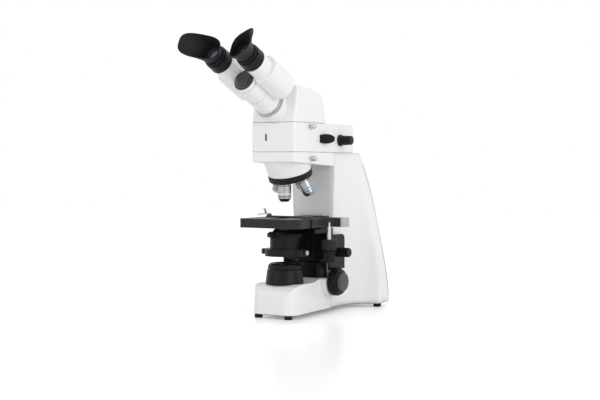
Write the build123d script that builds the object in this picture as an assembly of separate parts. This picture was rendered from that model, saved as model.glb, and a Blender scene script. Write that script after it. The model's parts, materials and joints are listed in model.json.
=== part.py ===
from build123d import *
import os
from math import asin, atan2, cos, degrees, hypot, pi, radians, sin, sqrt, tan

# Compound microscope with an incident light module under a swinging binocular head.
# Millimetres. Z = 0 is the table and the user sits at -Y. Every piece is drawn with the optical axis at
# X = Y = 0, and CENTRE then brings the middle of the whole to the origin.

CENTRE = (4.2, 21.3)           # middle of the whole in plan, from the optical axis

# Fits between pieces
RUN = 0.05            # radial play of a shaft in its bearing
GAP = 0.3             # play between curved or sliding faces of different pieces
SEAT = 0.1            # play round a piece that lies in a pocket
EPS = 0.5             # how far a cut runs past a face

# Levels
FOOT_H = 5.8
PLATE_T = 1.2
BODY_Z = FOOT_H + PLATE_T      # underside of the castings
LAMP_Z = 57.0                  # flat on the base that carries the lamp housing
RIDGE_Z = 62.0                 # top of the base in front of the column
ARM_Z = 257.0                  # underside of the arm at the column
ARM_FRONT_Z = 264.0            # underside of the arm at its front
ARM_TOP = 280.5
MODULE_H = 50.5
MODULE_TOP = ARM_TOP + MODULE_H
SEAM = 0.8                     # shadow gap between arm, module and head

# Stand in plan
HALF_W = 43.8                  # half width of arm, module and head
FRONT_Y = -36.0                # front of arm, module and head
BASE_FRONT_Y = -42.5
BASE_W = 45.0                  # half width of the base at its front
BASE_W_MID = 37.8
BASE_MID_Y = 49.0
BASE_W_REAR = 36.0             # half width of the base where it meets the column
COLUMN_Y = 92.0                # front plane of the column
CORNER_R = 5.0                 # upright corners of arm, module and head
BASE_CORNER_R = 20.0
BASE_DRAFT = 1.5               # degrees

# Column sections: level, half width at the front, two points that pull the hollow flank, side edge, rear edge
COLUMN = [
    (BODY_Z, BASE_W_REAR, (27.0, 150.0), (28.0, 180.0), (78.0, 194.0), (76.0, 241.0)),
    (60.0, 35.5, (34.0, 145.0), (36.0, 185.0), (75.0, 203.0), (73.5, 237.0)),
    (120.0, 38.5, (40.0, 130.0), (40.0, 172.0), (68.5, 193.0), (68.5, 225.0)),
    (190.0, 41.0, (42.0, 120.0), (43.0, 155.0), (59.5, 178.0), (60.5, 210.0)),
    (ARM_Z, HALF_W, (42.0, 115.0), (43.0, 142.0), (48.0, 165.0), (48.5, 194.0)),
    (ARM_TOP, HALF_W, (HALF_W, 112.0), (HALF_W, 138.0), (42.8, 158.0), (43.8, 185.0)),
]
EDGE_SOFT = 5.0                # reach of the soft corner along each side of it
REAR_SOFT = 6.0
STRIP = [(16.0, 236.8), (55.0, 232.0), (89.0, 226.5), (130.0, 219.0), (185.0, 207.5), (222.0, 199.0), (262.0, 188.6)]
STRIP_W = 2.4
STRIP_T = 1.5
COVER_W = 38.0                 # half width of the rear cover
COVER_T = 3.0
COVER_Z = (55.0, 245.0)
CHANNEL_W = 27.0               # half width of the channel in the front of the column
CHANNEL_D = 5.0
CHANNEL_TOP = 167.0

# Feet and base plate
FOOT_R = 7.0
FEET = [(-30.0, -34.5), (30.0, -34.5), (-68.5, 206.0), (68.5, 206.0)]
PLATE_INSET = 3.0

# Supply inlet at the rear, light control on the left side of the base
INLET_X = -48.0
INLET_Z = 32.0
INLET_R = 2.8
INLET_DEPTH = 9.0
INLET_BODY = (16.0, 13.0)
DIMMER_R = 9.0
DIMMER_T = 7.5
DIMMER_Y = 8.0
DIMMER_Z = 34.0
DIMMER_SHAFT_R = 3.0

# Lamp housing on the base
LAMP_R = 32.5
LAMP_NECK_R = 28.6
LAMP_NECK_Z = 81.5
LAMP_WALL = 3.0
FIELD_TOP = 91.8
FIELD_R = 24.0
FIELD_BORE_R = 17.0
FIELD_LENS_T = 3.0

# Focus drive
FOCUS_Y = 84.0
FOCUS_Z = 55.3
SLEEVE_R = 7.5                 # bearing bosses of the focus housing
COARSE_SHAFT_R = 5.0
FINE_SHAFT_R = 2.5
COARSE_R = 24.5
COARSE_X = (49.0, 63.5)
FINE_R = 16.8
FINE_END = 70.0
FINE_GRIP = 4.0                # length of the fine shaft inside each fine knob
FOCUS_HOUSING_W = 29.0
FOCUS_HOUSING_Y = (62.0, 91.5)
FOCUS_HOUSING_Z = (45.0, 89.0)
PINION_R = 7.0
RACK_W = 4.5
RACK_T = 5.0
RACK_PITCH = 3.2
RACK_REACH = 27.0
MESH = 0.35                    # play between the pinion's teeth and the rack
FLUTES = 24

# Stage carrier on the column
RAIL_W = 12.0                  # half width of the fixed dovetail rail at its face
RAIL_Y = 85.5
RAIL_Z = (90.0, 165.0)
CARRIER_W = 48.0
CARRIER_Y = 70.0
CARRIER_Z = (93.0, 137.0)
CHEEK_Z = (76.0, 137.0)
CHEEK_T = 3.0
CHEEK_Y = 122.0
GUIDE_W = 26.0                 # block that guides the condenser
GUIDE_Y = 52.0
SHELF_Z = 141.0

# Stage
STAGE_TOP = 168.4
STAGE_T = 15.5
STAGE_BOTTOM = STAGE_TOP - STAGE_T
STAGE_W = 60.0
STAGE_FRONT = -51.6
STAGE_SIDE_Y = 39.0
STAGE_REAR = 72.0
STAGE_CORNER_R = 8.0
RAIL_END_X = 81.5
RAIL_CAP_T = 5.0
RAIL_FRONT = 50.0
RAIL_FILLET = 11.0
STAGE_TRAVEL_Y = 12.5
POCKET_Z = 161.5
SUBPLATE_W = 44.0
SUBPLATE_Y = (-24.0, 44.0)
APERTURE_R = 15.0
DRIVE_X = 60.0
DRIVE_Y = 47.7
DRIVE_SHAFT_R = 3.6
DRIVE_TUBE_R = 2.0
Y_KNOB = (13.0, 113.0, 131.0)          # radius, bottom, top
X_KNOB = (10.5, 92.0, 111.5)
KNOB_FLUTES = 18

# Slide holder
HOLDER_Y = (15.0, 22.0)
HOLDER_X = (-48.0, 46.0)
HOLDER_T = 2.6
CARRIAGE_Y = (51.0, 63.0)
SCREW_X = (10.0, 44.0)
HOLDER_LIFT = GAP
FINGER_PIVOT = (-44.0, 19.0)
FINGER_REACH = 34.0
GLASS_X = 38.5                         # half length of the slide that it holds
GLASS_Y = 13.5

# Condenser
COND_HOLDER_R = 33.5
COND_HOLDER_Z = (104.0, 116.5)
COND_R = 25.0
COND_BODY_Z = (105.0, 135.6)
IRIS_R = 30.0
IRIS_Z = (136.0, 139.2)
COND_TOP_Z = (139.6, 144.6)
COND_NOSE_R = 21.0
COND_TOP = 150.5
COND_LENS_R = 8.5
COND_KNOB_Y = 84.0
COND_KNOB_Z = 107.0
COND_KNOB_X = (51.0, 80.0)
COND_KNOB_R = 8.2
COND_SHAFT_R = 2.5
COND_SHAFT_X = 18.0

# Nosepiece
TURRET_TILT = 20.0
APEX_Z = 292.7                         # where all objective axes meet
RING_START = 48.0                      # apex to the top plane of the turret ring
RING_H = 10.8
RING_R = 38.0
SKIRT_R = 34.6
SKIRT_TOP = 2.0
CONE_R = 41.0
CONE_Y = 8.0
SEAT_DIST = 58.8                       # apex to the seat of an objective, along its axis
THREAD_R = 10.2
THREAD_L = 4.0
OBJECTIVES = [                         # name, turn about the nosepiece, length, barrel radius, tip radius
    ("objective_10x", 0, 33.9, 12.0, 9.5),
    ("objective_40x", 90, 37.0, 11.6, 7.5),
    ("objective_100x", 180, 37.6, 11.6, 6.5),
    ("objective_4x", 270, 29.0, 12.0, 11.0),
]

# Incident light module
MODULE_REAR = 162.0
SLOT_X = -14.0
SLOT_Z = (299.5, 311.2)
SLOT_W = 4.0
SLIDER_Y = 54.0
SLIDER_Z = 304.0
SLIDER_BAR = (20.0, 13.0)              # width and height of the slider bar
SLIDER_LEN = 17.5
SLIDER_TRAVEL = 15.0
KNOB_Y = 112.0
KNOB_Z = 302.4
KNOB_R = (10.2, 7.4)
KNOB_LEN = 24.0
KNOB_SHAFT_R = 3.0
CLAMP_R = 4.2
CLAMP_LEN = 11.0
CLAMP_Y = (11.5, 14.8)
CLAMP_Z = (324.0, 270.0)

# Head: side profile (y, z), tube inclination and hinge axis
HEAD = [(-36.0, MODULE_TOP), (-25.4, 391.6), (13.4, 387.5), (45.7, 380.8), (54.7, 363.9), (62.7, MODULE_TOP)]
HEAD_FOOT_R = 22.0
HEAD_FOOT_H = 4.0
TUBE_ANGLE = 25.0
DISC_Y = -119.9
DISC_Z = 395.6
SPREAD = 31.0                          # half distance between the eyepieces
RISE = 18.4                            # eyepieces above the hinge axis
ARM_R = hypot(SPREAD, RISE)
ARM_ANGLE = degrees(atan2(SPREAD, RISE))
BOSS_R = 26.5
BOSS_S = -82.0                         # places along the hinge axis, 0 at the face of the scale disc
HUB_RING_R = 24.0
HUB_RING_S = -77.5
SPINDLE_R = 8.0
SPINDLE_BACK = -94.0
SLEEVE_OUT_R = 22.3
REAR_HUB_S = (-77.0, -40.6)
SLEEVE_S = (-40.2, -6.2)
DISC_R = 18.0
RIM_R = 20.6
DISC_T = 3.5
BODY_OFFSET = 37.5                     # centre of the arm body from the hinge axis
BODY_R = 24.0
BODY_BACK = -62.0
BODY_FRONT = 1.5
BODY_REAR_R = 6.0
BODY_FRONT_R = 3.0
TUBE_R = 19.2
TUBE_END = 28.0
TUBE_BORE_R = 15.2

# Eyepieces, places along the tube axis
BARREL_R = (20.4, 19.7)
BARREL_S = (TUBE_END, 46.4)
BARREL_PLUG_R = 15.0
BARREL_PLUG_S = 10.0
NECK_R = 14.5
NECK_S = 57.0
DIOPTER_R = 18.9
DIOPTER_S = (46.8, 52.4)
EYE_LENS_R = 11.0
CUP_NECK_R = 17.6
CUP_S = 52.8
CUP_WALL = 1.8
CUP_MOUTH = (33.0, 21.0)               # half length and half height of the mouth
CUP_MOUTH_OUT = 10.0                   # middle of the mouth, outwards of the tube axis
CUP_MOUTH_S = 79.0
CUP_TILT = 23.0

HUB = Plane(
    origin=(0, DISC_Y, DISC_Z),
    x_dir=(1, 0, 0),
    z_dir=(0, -cos(radians(TUBE_ANGLE)), sin(radians(TUBE_ANGLE))),
)
TURRET = Plane(
    origin=(0, 0, APEX_Z),
    x_dir=(1, 0, 0),
    z_dir=(0, sin(radians(TURRET_TILT)), -cos(radians(TURRET_TILT))),
)


def block(x, y, z):
    """Box from the low and high value on each axis."""
    size = (x[1] - x[0], y[1] - y[0], z[1] - z[0])
    return Pos((x[0] + x[1]) / 2, (y[0] + y[1]) / 2, (z[0] + z[1]) / 2) * Box(*size)


def post(r, z, x=0.0, y=0.0):
    """Upright cylinder between two levels."""
    return Pos(x, y, (z[0] + z[1]) / 2) * Cylinder(r, z[1] - z[0])


def rod(r, x, y, z):
    """Cylinder along X between two places."""
    return Pos((x[0] + x[1]) / 2, y, z) * Rot(0, 90, 0) * Cylinder(r, x[1] - x[0])


def spin(*points):
    """Solid of revolution about Z from (radius, height) points."""
    return revolve(Plane.XZ * make_face(Polyline(*points, close=True)), Axis.Z)


def lens(r, low, top, dome):
    """Plano-convex lens, flat side down."""
    bulge = [(r * step / 6, top - dome * (step / 6) ** 2) for step in range(7)]
    return spin((0, low), (r, low), *reversed(bulge))


def side_profile(points, half_width):
    """Closed (y, z) outline made as wide as both sides of X = 0."""
    face = Plane.YZ * make_face(Polyline(*points, close=True))
    return extrude(face, half_width, both=True)


def fluted(r, depth, z, count, width):
    """Knob blank with round grooves along its rim, upright at the origin."""
    blank = chamfer(post(r, z).edges().filter_by(GeomType.CIRCLE), 0.6)
    groove = post(width, (z[0] - EPS, z[1] + EPS), x=r + width - depth)
    return blank - [Rot(0, 0, 360 * i / count) * groove for i in range(count)]


def along_x(solid, x, y, z, side=1):
    """Carry an upright solid to lie along X, its base at x and its top outwards."""
    return Pos(side * x, y, z) * Rot(0, side * 90, 0) * solid


def in_hub(solid):
    return HUB.location * solid


def in_turret(solid):
    return TURRET.location * solid


# Stand


def toward(start, end, reach):
    """Point that lies a given way from start on the line to end."""
    part = reach / hypot(end[0] - start[0], end[1] - start[1])
    return (start[0] + (end[0] - start[0]) * part, start[1] + (end[1] - start[1]) * part)


def column_section(level, front, pull, flare, edge, rear):
    """Horizontal section: flat front, hollow flanks, soft side and rear edges, flat rear."""
    middle = (0, rear[1])
    before, after = toward(edge, flare, EDGE_SOFT), toward(edge, rear, EDGE_SOFT)
    band_end, back_start = toward(rear, edge, REAR_SOFT), toward(rear, middle, REAR_SOFT)
    half = make_face([
        Line((0, COLUMN_Y), (front, COLUMN_Y)),
        Bezier((front, COLUMN_Y), pull, flare, before),
        Bezier(before, edge, after),
        Line(after, band_end),
        Bezier(band_end, rear, back_start),
        Line(back_start, middle),
        Line(middle, (0, COLUMN_Y)),
    ])
    return Plane.XY.offset(level) * (half + mirror(half, Plane.YZ))


def column_blank():
    return loft([column_section(*row) for row in COLUMN])


def strip_band(width):
    """Curved band in side view that the trim strips follow."""
    def line(shift):
        return Spline(*[(y + shift, z) for z, y in STRIP])
    near, far = line(-width / 2), line(width / 2)
    ends = [Line(near @ 0, far @ 0), Line(near @ 1, far @ 1)]
    return extrude(Plane.YZ * make_face([near, far] + ends), 2 * HALF_W, both=True)


def trim_strip(blank, side, width=STRIP_W, depth=STRIP_T):
    skin = blank - Pos(-side * depth, 0, 0) * blank
    zone = block((0, side * 2 * HALF_W) if side > 0 else (-2 * HALF_W, 0), (150, 260), (0, 300))
    return skin & strip_band(width) & zone


def rear_zone(half_width, depth, low, high):
    return block((-half_width, half_width), (150, 260), (low, high))


def rear_cover(blank):
    skin = blank - Pos(0, -(COVER_T - SEAT), 0) * blank
    return skin & rear_zone(COVER_W - SEAT, COVER_T, COVER_Z[0] + SEAT, COVER_Z[1] - SEAT)


def inlet_seat():
    w, h = INLET_BODY
    return block(
        (INLET_X - w / 2, INLET_X + w / 2), (COLUMN[0][5][1] - 16, 260), (INLET_Z - h / 2, INLET_Z + h / 2)
    )


def column_casting(blank):
    cover_bed = (blank - Pos(0, -COVER_T, 0) * blank) & rear_zone(COVER_W, COVER_T, *COVER_Z)
    channel = block(
        (-CHANNEL_W, CHANNEL_W), (COLUMN_Y - EPS, COLUMN_Y + CHANNEL_D), (RIDGE_Z, CHANNEL_TOP)
    )
    body = blank - cover_bed - channel - inlet_seat()
    for side in (-1, 1):
        body = body - trim_strip(blank, side)
    return body


def power_inlet():
    w, h = INLET_BODY
    face_y = rear_face_y(INLET_Z) + 1.0
    body = block(
        (INLET_X - w / 2 + SEAT, INLET_X + w / 2 - SEAT), (COLUMN[0][5][1] - 16, face_y),
        (INLET_Z - h / 2 + SEAT, INLET_Z + h / 2 - SEAT),
    )
    bore = Pos(INLET_X, face_y - INLET_DEPTH / 2, INLET_Z) * Rot(90, 0, 0) * Cylinder(INLET_R, INLET_DEPTH)
    return body - bore


def rear_face_y(level):
    """Rear of the column at a low level, between its two lowest sections."""
    (z0, y0), (z1, y1) = [(row[0], row[5][1]) for row in COLUMN[:2]]
    return y0 + (y1 - y0) * (level - z0) / (z1 - z0)


def base_outline(inset=0.0):
    """Tongue of the base in plan, run on a little into the column."""
    points = [
        (BASE_W - inset, BASE_FRONT_Y + inset), (BASE_W_MID - inset, BASE_MID_Y),
        (BASE_W_REAR - inset, COLUMN_Y), (BASE_W_REAR - inset, COLUMN_Y + 20),
    ]
    left = [(-x, y) for x, y in reversed(points)]
    face = make_face(Polyline(*points, *left, close=True))
    return fillet(face.vertices().group_by(Axis.Y)[0], BASE_CORNER_R)


def base_casting():
    blank = extrude(Plane.XY.offset(BODY_Z) * base_outline(), RIDGE_Z, taper=BASE_DRAFT)
    for side in (-1, 1):
        ends = sorted((side * (BASE_W_MID - 6), side * (COARSE_X[0] - 2.2)))
        blank = blank + rod(COARSE_R + 1.5, ends, FOCUS_Y, FOCUS_Z)
    top = [
        (BASE_FRONT_Y - EPS, 0), (BASE_FRONT_Y - EPS, 38), (-37.5, 47), (-29, 54), (-17, LAMP_Z), (34, LAMP_Z),
        (62, RIDGE_Z), (COLUMN_Y, RIDGE_Z), (COLUMN_Y, 0),
    ]
    body = blank & side_profile(top, 60)
    w = FOCUS_HOUSING_W + SEAT
    pocket = block((-w, w), (FOCUS_HOUSING_Y[0] - SEAT, COLUMN_Y + EPS), (FOCUS_HOUSING_Z[0] - SEAT, RIDGE_Z + 40))
    body = body - pocket
    sleeve = rod(SLEEVE_R + SEAT, (-60, 60), FOCUS_Y, FOCUS_Z)
    slot = block((-60, 60), (FOCUS_Y - SLEEVE_R - SEAT, FOCUS_Y + SLEEVE_R + SEAT), (FOCUS_Z, RIDGE_Z + 40))
    body = body - sleeve - slot - rack_slot(RIDGE_Z)
    bore = along_x(post(DIMMER_SHAFT_R + RUN, (-16, 10)), BASE_W - 4, DIMMER_Y, DIMMER_Z, -1)
    return body - bore


def base_plate():
    tongue = extrude(Plane.XY.offset(FOOT_H) * base_outline(PLATE_INSET), PLATE_T)
    level, front, pull, flare, edge, rear = COLUMN[0]
    inset = PLATE_INSET
    rows = (level, front - inset, (pull[0] - inset, pull[1]), (flare[0] - inset, flare[1] + inset),
            (edge[0] - inset, edge[1] + inset), (rear[0] - inset, rear[1] - inset))
    foot = extrude(Plane.XY.offset(FOOT_H - level) * column_section(*rows), PLATE_T)
    return tongue + foot


def feet():
    pad = spin((0, 0), (FOOT_R - 0.8, 0), (FOOT_R, 0.8), (FOOT_R, FOOT_H), (0, FOOT_H))
    return Compound([Pos(x, y, 0) * pad for x, y in FEET])


def arm_casting():
    """Cantilever with the white cone that carries the nosepiece."""
    profile = [(FRONT_Y, ARM_FRONT_Z), (COLUMN_Y, ARM_Z), (COLUMN_Y, ARM_TOP), (FRONT_Y, ARM_TOP)]
    beam = side_profile(profile, HALF_W)
    front = beam.edges().filter_by(Axis.Z).group_by(Axis.Y)[0]
    beam = fillet(front, CORNER_R) - in_turret(post(RING_R + 1.5, (RING_START - GAP, RING_START + 20)))
    wide = Plane.XY.offset(ARM_FRONT_Z + 2).location * Pos(0, CONE_Y, 0) * Circle(CONE_R)
    ring_face = Plane(TURRET.origin + TURRET.z_dir * (RING_START - GAP), x_dir=(1, 0, 0), z_dir=TURRET.z_dir)
    narrow = ring_face.location * Circle(RING_R - 1.0)
    cone = loft([wide, narrow], ruled=True)
    bearing = in_turret(post(10.0, (RING_START - GAP - 1, RING_START + 5)))
    clamp = along_x(post(2.5 + RUN, (-10, 4)), HALF_W, CLAMP_Y[1], CLAMP_Z[1])
    return beam + cone + bearing - clamp


# Lamp and light control


def lamp_housing():
    """Cone with the tube inside that carries the field lens."""
    inner = LAMP_R - LAMP_WALL
    tube = FIELD_BORE_R - 0.5
    seat = FIELD_TOP - 2.5 - FIELD_LENS_T
    return spin(
        (inner, LAMP_Z), (LAMP_R, LAMP_Z), (LAMP_R, LAMP_Z + 2), (LAMP_NECK_R + 1.2, LAMP_NECK_Z - 1),
        (LAMP_NECK_R, LAMP_NECK_Z), (tube, LAMP_NECK_Z), (tube, seat), (tube - 3, seat),
        (tube - 3, LAMP_NECK_Z - 4), (inner - 2, LAMP_NECK_Z - 4),
    )


def field_ring():
    """Knurled ring of the field diaphragm, turned on the neck of the lamp housing."""
    low = LAMP_NECK_Z + GAP
    return spin(
        (FIELD_BORE_R, low), (LAMP_NECK_R, low), (LAMP_NECK_R, low + 4.5), (LAMP_NECK_R - 1.2, low + 7.2),
        (FIELD_R, FIELD_TOP), (FIELD_BORE_R + 3, FIELD_TOP), (FIELD_BORE_R, FIELD_TOP - 2),
    )


def field_lens():
    return lens(FIELD_BORE_R - GAP, FIELD_TOP - 2.5 - FIELD_LENS_T, FIELD_TOP - 2.5, 1.6)


def dimmer_knob():
    wheel = fluted(DIMMER_R, 0.7, (0, DIMMER_T), KNOB_FLUTES, 1.4)
    stem = post(DIMMER_SHAFT_R, (-14, 0.1))
    return along_x(wheel + stem, BASE_W - 1.6, DIMMER_Y, DIMMER_Z, -1)


# Focus drive


def focus_housing():
    w = FOCUS_HOUSING_W
    body = block((-w, w), FOCUS_HOUSING_Y, FOCUS_HOUSING_Z)
    body = fillet(body.edges().filter_by(Axis.Z).group_by(Axis.Y)[0], 3.0)
    for side in (-1, 1):
        ends = sorted((side * (w - 1), side * (COARSE_X[0] - 2.5)))
        body = body + rod(SLEEVE_R, ends, FOCUS_Y, FOCUS_Z)
    room = block((-9, 9), (FOCUS_Y - 9, FOCUS_HOUSING_Y[1] + EPS), (FOCUS_Z - 9, FOCUS_Z + 9))
    return body - rod(COARSE_SHAFT_R + RUN, (-60, 60), FOCUS_Y, FOCUS_Z) - room - rack_slot(FOCUS_HOUSING_Z[1] + EPS)


def rack_slot(top):
    """Room in which the rack runs up and down."""
    y = FOCUS_Y - PINION_R
    low = FOCUS_Z - RACK_REACH - 4
    return block((-RACK_W - GAP, RACK_W + GAP), (y - RACK_T - 2 * GAP - MESH, y), (low, top))


def coarse_shaft():
    """Hollow shaft with the pinion that moves the rack."""
    tube = rod(COARSE_SHAFT_R, (-COARSE_X[0] - 4, COARSE_X[0] + 4), FOCUS_Y, FOCUS_Z)
    pinion = toothed(PINION_R, 14, 1.4, (-6.0, 6.0))
    tube = tube + Pos(0, FOCUS_Y, FOCUS_Z) * Rot(0, 90, 0) * pinion
    return tube - rod(FINE_SHAFT_R + RUN, (-60, 60), FOCUS_Y, FOCUS_Z)


def toothed(r, count, depth, z):
    """Straight spur pinion about Z."""
    step = 2 * pi / count
    points = []
    for i in range(count):
        for turn, radius in ((-0.28, r - depth), (-0.14, r), (0.14, r), (0.28, r - depth)):
            a = (i + turn) * step
            points.append((radius * cos(a), radius * sin(a)))
    return Pos(0, 0, z[0]) * extrude(make_face(Polyline(*points, close=True)), z[1] - z[0])


def coarse_knob(side):
    depth = COARSE_X[1] - COARSE_X[0]
    wheel = fluted(COARSE_R, 1.0, (0, depth - 5), FLUTES, 2.2)
    collar = spin((0, depth - 5.1), (COARSE_R - 2.0, depth - 5.1), (COARSE_R - 2.6, depth - 1), (FINE_R + 1.4, depth),
                  (0, depth))
    recess = post(FINE_R - 4, (depth - 3, depth + 1))
    bore = post(COARSE_SHAFT_R + SEAT / 2, (-1, 4 + SEAT))
    core = post(FINE_SHAFT_R + RUN, (-1, depth + 1))
    return along_x(wheel + collar - recess - bore - core, COARSE_X[0], FOCUS_Y, FOCUS_Z, side)


def fine_knob(side):
    start = COARSE_X[1] + GAP
    depth = FINE_END - start
    wheel = fluted(FINE_R, 0.6, (0, depth - 1.4), FLUTES, 1.2)
    face = spin((0, depth - 1.5), (FINE_R - 1, depth - 1.5), (FINE_R - 2.4, depth), (0, depth))
    dimple = Pos(FINE_R * 0.52, 0, depth + 3.2) * Sphere(4.4)
    dimples = [Rot(0, 0, 120 * i + 30) * dimple for i in range(3)]
    knob = along_x(wheel + face - dimples, start, FOCUS_Y, FOCUS_Z, side)
    if side < 0:
        return knob + rod(FINE_SHAFT_R, (-start - 1, start + FINE_GRIP - SEAT), FOCUS_Y, FOCUS_Z)
    return knob - rod(FINE_SHAFT_R + SEAT / 2, (start - 1, start + FINE_GRIP), FOCUS_Y, FOCUS_Z)


# Stage carrier


def guide_rail():
    """Fixed dovetail rail in the channel of the column."""
    base = COLUMN_Y + CHANNEL_D
    face = make_face(Polyline(
        (-RAIL_W - 4, base), (RAIL_W + 4, base), (RAIL_W + 4, COLUMN_Y), (RAIL_W - 2, COLUMN_Y), (RAIL_W, RAIL_Y),
        (-RAIL_W, RAIL_Y), (-RAIL_W + 2, COLUMN_Y), (-RAIL_W - 4, COLUMN_Y), close=True,
    ))
    return Plane.XY.offset(RAIL_Z[0]) * extrude(face, RAIL_Z[1] - RAIL_Z[0])


def stage_carrier():
    """Black bracket that rides on the rail, guides the condenser and carries the stage."""
    z0, z1 = CARRIER_Z
    body = block((-CARRIER_W, CARRIER_W), (CARRIER_Y, COLUMN_Y - 1.0), (z0, z1))
    for side in (-1, 1):
        x = sorted((side * (CARRIER_W - CHEEK_T), side * CARRIER_W))
        cheek = block(x, (CARRIER_Y, CHEEK_Y), CHEEK_Z)
        corner = cheek.edges().filter_by(Axis.X).group_by(Axis.Y)[-1].sort_by(Axis.Z)
        cheek = fillet(corner[-1:], 9.0)
        body = body + cheek
    guide = block((-GUIDE_W, GUIDE_W), (GUIDE_Y, CARRIER_Y + 0.1), (z0, SHELF_Z + 0.1))
    shelf = block((-SUBPLATE_W + 2, SUBPLATE_W - 2), (GUIDE_Y - 20, COLUMN_Y - 1.0), (SHELF_Z, STAGE_BOTTOM - 4.2))
    web = block((-SUBPLATE_W + 2, SUBPLATE_W - 2), (CARRIER_Y, COLUMN_Y - 1.0), (z1 - 0.1, SHELF_Z + 0.1))
    table = block((-24, 24), (GUIDE_Y - 20, SUBPLATE_Y[1] - 2), (STAGE_BOTTOM - 4.3, STAGE_BOTTOM + 1.0))
    body = body + guide + shelf + web + table
    groove = make_face(Polyline(
        (-RAIL_W - GAP, RAIL_Y - GAP), (RAIL_W + GAP, RAIL_Y - GAP), (RAIL_W - 2 + GAP, COLUMN_Y + 3),
        (-RAIL_W + 2 - GAP, COLUMN_Y + 3), close=True,
    ))
    body = body - extrude(groove, 2 * STAGE_TOP)
    bore = rod(COND_SHAFT_R + RUN, (COND_SHAFT_X - 1, 60), COND_KNOB_Y, COND_KNOB_Z)
    return body - bore + rack()


def rack():
    """Notched rack that hangs from the carrier in front of the pinion of the coarse drive."""
    back = FOCUS_Y - PINION_R - MESH
    low, high = FOCUS_Z - RACK_REACH, CARRIER_Z[0] + 1
    bar = block((-RACK_W, RACK_W), (back - RACK_T, back), (low, high))
    count = int((high - low - 4) / RACK_PITCH)
    notch = block((-RACK_W - 1, RACK_W + 1), (back - 1, back + 1), (0, RACK_PITCH / 2))
    return bar - [Pos(0, 0, low + 1 + i * RACK_PITCH) * notch for i in range(count)]


# Stage


def stage_outline():
    points = [
        (-STAGE_W, STAGE_FRONT), (STAGE_W, STAGE_FRONT), (STAGE_W, RAIL_FRONT), (RAIL_END_X, RAIL_FRONT),
        (RAIL_END_X, STAGE_REAR), (-STAGE_W, STAGE_REAR),
    ]
    face = make_face(Polyline(*points, close=True))
    corners = face.vertices().group_by(Axis.Y)
    face = fillet(corners[0], STAGE_CORNER_R)
    inner = [v for v in face.vertices() if abs(v.X - STAGE_W) < 0.01 and abs(v.Y - RAIL_FRONT) < 0.01]
    return fillet(inner, RAIL_FILLET)


def stage_top():
    plate = extrude(Plane.XY.offset(STAGE_BOTTOM) * stage_outline(), STAGE_T)
    travel = STAGE_TRAVEL_Y + 2
    pocket = block(
        (-SUBPLATE_W - 2, SUBPLATE_W + 2), (SUBPLATE_Y[0] - travel, SUBPLATE_Y[1] + travel),
        (STAGE_BOTTOM - EPS, POCKET_Z),
    )
    hole = Plane.XY.offset(STAGE_BOTTOM - EPS) * extrude(SlotOverall(4.4 * APERTURE_R, 2 * APERTURE_R, rotation=90), 20)
    notch = block((STAGE_W - 2.5, STAGE_W + EPS), (-24, -7), (STAGE_BOTTOM - EPS, STAGE_TOP - 1.2))
    groove = block((-STAGE_W + 14, 22), (STAGE_FRONT - EPS, STAGE_FRONT + 0.8), (STAGE_BOTTOM - EPS, STAGE_BOTTOM + 1.6))
    shaft = post(DRIVE_SHAFT_R + RUN, (STAGE_BOTTOM - EPS, STAGE_BOTTOM + 8), DRIVE_X, DRIVE_Y)
    return plate - pocket - hole - notch - groove - shaft


def rail_cap():
    low, high = STAGE_BOTTOM, STAGE_TOP
    cap = block((RAIL_END_X, RAIL_END_X + RAIL_CAP_T), (RAIL_FRONT, STAGE_REAR), (low, high))
    return chamfer(cap.faces().sort_by(Axis.X)[-1].edges(), 0.8)


def stage_subplate():
    plate = block((-SUBPLATE_W, SUBPLATE_W), SUBPLATE_Y, (STAGE_BOTTOM + 1.0, POCKET_Z - GAP))
    return plate - post(COND_NOSE_R + 1, (STAGE_BOTTOM - EPS, STAGE_TOP))


def stage_drive(knob, reach, shaft_r, bore_r):
    """Fluted knob and its shaft, hanging from the right of the stage."""
    r, low, high = knob
    wheel = Pos(DRIVE_X, DRIVE_Y, 0) * fluted(r, 0.7, (low, high), KNOB_FLUTES, 1.5)
    shaft = post(shaft_r, (low, reach), DRIVE_X, DRIVE_Y)
    return wheel + shaft


def y_drive():
    body = stage_drive(Y_KNOB, STAGE_BOTTOM + 7.5, DRIVE_SHAFT_R, 0)
    return body - post(DRIVE_TUBE_R + RUN, (0, STAGE_TOP), DRIVE_X, DRIVE_Y)


def x_drive():
    return stage_drive(X_KNOB, STAGE_BOTTOM + 7.0, DRIVE_TUBE_R, 0)


def holder_screws():
    """Two thumb screws that clamp the slide holder on its carriage."""
    low = STAGE_TOP + HOLDER_LIFT + HOLDER_T
    stud = spin((0, 0), (2.3, 0), (2.3, 1.8), (1.6, 2.4), (0, 2.4))
    return Compound([Pos(x, CARRIAGE_Y[1] - 6, low) * stud for x in SCREW_X])


def slide_holder():
    low = STAGE_TOP + HOLDER_LIFT
    bar = block(HOLDER_X, HOLDER_Y, (low, low + HOLDER_T))
    jaw = block((GLASS_X + 1, HOLDER_X[1]), (-10, HOLDER_Y[0] + 1), (low, low + HOLDER_T))
    jaw = fillet(jaw.edges().filter_by(Axis.Z).group_by(Axis.Y)[0], 2.5)
    bridge = block((SCREW_X[0] - 7, SCREW_X[0] + 6), (HOLDER_Y[1] - 1, CARRIAGE_Y[0] + 1), (low, low + HOLDER_T))
    carriage = block((SCREW_X[0] - 7, SCREW_X[1] + 7), CARRIAGE_Y, (low, low + HOLDER_T))
    boss = post(4.2, (low, low + 4.4), *FINGER_PIVOT)
    pin = post(1.6, (low + 4, low + 7.4), *FINGER_PIVOT)
    return bar + jaw + bridge + carriage + boss + pin


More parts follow.
